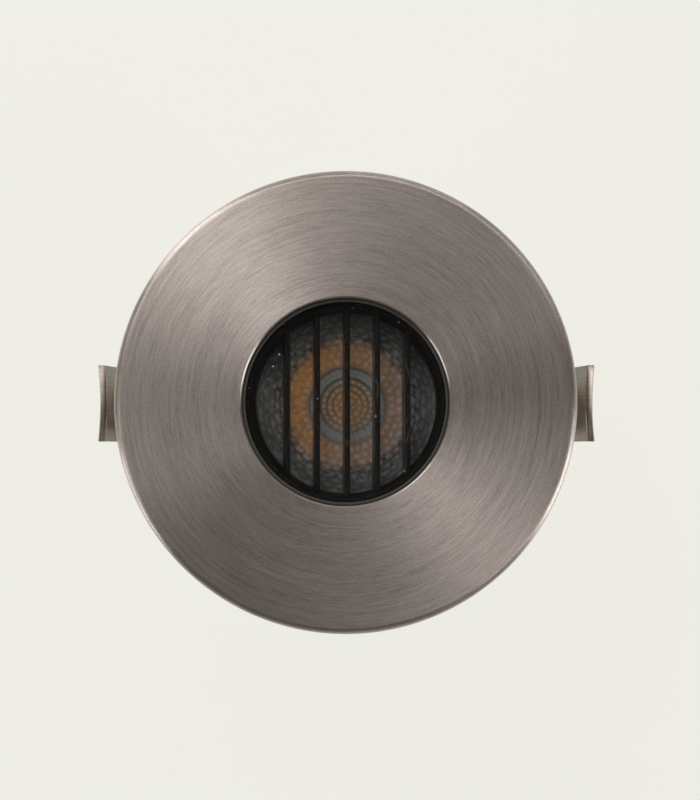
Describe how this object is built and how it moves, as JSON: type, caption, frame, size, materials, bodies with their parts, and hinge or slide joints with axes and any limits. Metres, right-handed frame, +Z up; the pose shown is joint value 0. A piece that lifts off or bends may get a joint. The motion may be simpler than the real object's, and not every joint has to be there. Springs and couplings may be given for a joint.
{
  "type": "in-ground light",
  "caption": "Round recessed ground light: brushed stainless rim, glass window over a black bladed louvre and wide lens, sealed body with cable gland, and side spring clips.",
  "frame": {"origin": "on the light's axis, in the plane of the rim seal's underside, where the ground's surface is", "axes": "+Z up out of the ground along the light's axis, +X through the right-hand spring clip, Y along the louvre's blades"},
  "size_m": [0.0874, 0.08, 0.0836],
  "materials": {
    "brushed_stainless": "circular brushed face, satin edge",
    "spring_stainless": "rolled strip, satin",
    "screw_steel": "plain stainless, satin",
    "seal_foam": "matt foam rubber",
    "gasket_silicone": "matt silicone",
    "window_glass": "clear toughened, polished",
    "turned_aluminium": "fine turned",
    "body_aluminium": "anodised grey",
    "louvre_black": "black, low sheen",
    "holder_black": "black, low sheen",
    "lens_acrylic": "clear, pebbled front",
    "led_board_white": "white solder mask",
    "phosphor_yellow": "yellow silicone",
    "thermal_pad_grey": "soft, matt",
    "lead_red": "wire insulation",
    "lead_black": "wire insulation",
    "circuit_green": "green solder mask",
    "ferrite_grey": "matt ferrite",
    "capacitor_sleeve": "can, satin",
    "chip_black": "moulded black",
    "terminal_green": "moulded green",
    "standoff_brass": "turned brass",
    "gland_nickel": "nickel plated, satin",
    "claw_nylon": "moulded nylon"
  },
  "bodies": {
    "light": {"bezel": "brushed_stainless", "bezel_seal": "seal_foam", "glass_gasket": "gasket_silicone", "glass": "window_glass", "glass_cushion": "gasket_silicone", "retaining_ring": "turned_aluminium", "louvre": "louvre_black", "lens": "lens_acrylic", "lens_holder": "holder_black", "holder_screws": "screw_steel", "led_board": "led_board_white", "led_phosphor": "phosphor_yellow", "thermal_pad": "thermal_pad_grey", "heat_spreader": "turned_aluminium", "spreader_screws": "screw_steel", "led_lead_positive": "lead_red", "led_lead_negative": "lead_black", "body": "body_aluminium", "body_o_ring": "gasket_silicone", "driver_board": "circuit_green", "driver_inductor": "ferrite_grey", "driver_capacitor": "capacitor_sleeve", "driver_chip": "chip_black", "terminal_block": "terminal_green", "board_standoffs": "standoff_brass", "board_screws": "screw_steel", "rear_gasket": "gasket_silicone", "rear_cap": "body_aluminium", "cap_screws": "screw_steel", "gland_o_ring": "gasket_silicone", "gland_body": "gland_nickel", "gland_seal": "gasket_silicone", "gland_claw": "claw_nylon", "gland_nut": "gland_nickel", "spring_foot_right": "spring_stainless", "spring_foot_left": "spring_stainless", "clip_screws": "screw_steel"},
    "clip_right": {"spring_leaf_right": "spring_stainless"},
    "clip_left": {"spring_leaf_left": "spring_stainless"}
  },
  "joints": [
    {"name": "clip_right_flex", "type": "hinge", "parent": "light", "child": "clip_right", "pos_m": [0.03336, 0, -0.03738], "axis": [0, -1, 0], "range_deg": [0, 16.5], "stiffness_Nm_per_rad": 2.4},
    {"name": "clip_left_flex", "type": "hinge", "parent": "light", "child": "clip_left", "pos_m": [-0.03336, 0, -0.03738], "axis": [0, 1, 0], "range_deg": [0, 16.5], "stiffness_Nm_per_rad": 2.4}
  ]
}
